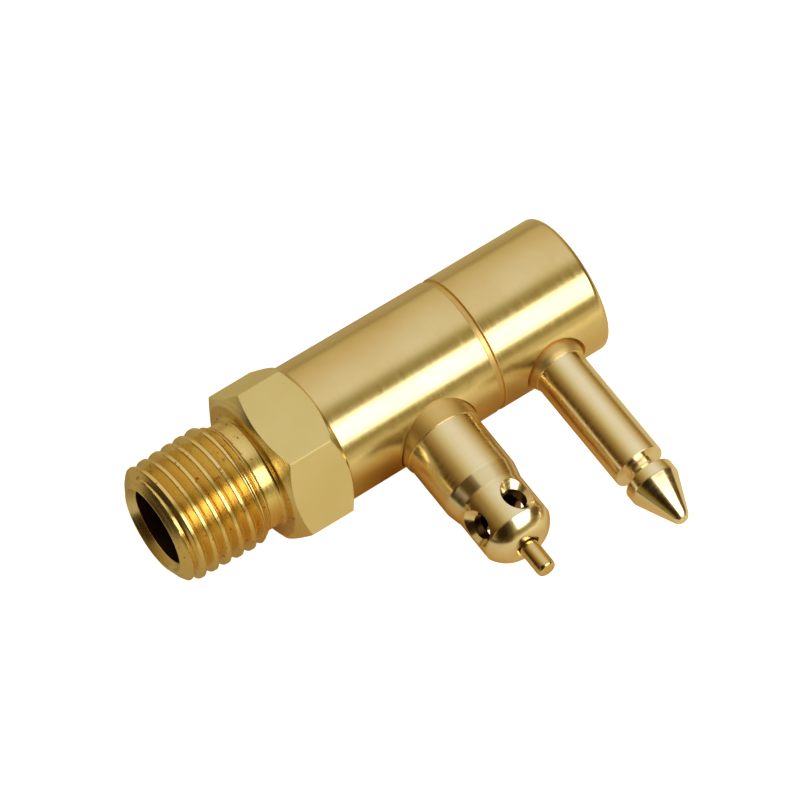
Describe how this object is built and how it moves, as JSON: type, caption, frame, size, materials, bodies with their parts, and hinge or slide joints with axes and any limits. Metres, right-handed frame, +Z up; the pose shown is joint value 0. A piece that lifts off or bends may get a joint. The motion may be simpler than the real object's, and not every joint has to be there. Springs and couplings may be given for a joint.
{
  "type": "fuel tank connector",
  "caption": "Brass male tank connector: tapered pipe thread, hexagon and round barrel with a sprung-valve fuel prong and a spear-headed locating pin.",
  "frame": {"origin": "centre of the pipe thread's open face, on the barrel's axis", "axes": "+X along the barrel from the pipe thread to the closed end; both prongs point to -Y; +Z up, square to both"},
  "size_m": [0.0487, 0.0369, 0.016],
  "materials": {
    "turned_brass": "satin, fine turning lines",
    "prong_brass": "polished turned brass",
    "valve_brass": "polished turned brass",
    "seal_rubber": "matte fuel-resistant rubber",
    "spring_steel": "bright stainless wire"
  },
  "bodies": {
    "fitting": {"body": "turned_brass", "fuel_prong": "prong_brass", "prong_seal": "seal_rubber", "locating_pin": "prong_brass", "spring_seat": "valve_brass", "valve_spring": "spring_steel"},
    "valve": {"valve_pin": "valve_brass", "valve_seal": "seal_rubber", "seal_clip": "spring_steel"}
  },
  "joints": [
    {"name": "valve_slide", "type": "slide", "parent": "fitting", "child": "valve", "axis": [0, 1, 0], "range_m": [0, 0.003], "stiffness_N_per_m": 400, "springref_m": -0.003, "deforming": ["valve_spring"]}
  ]
}
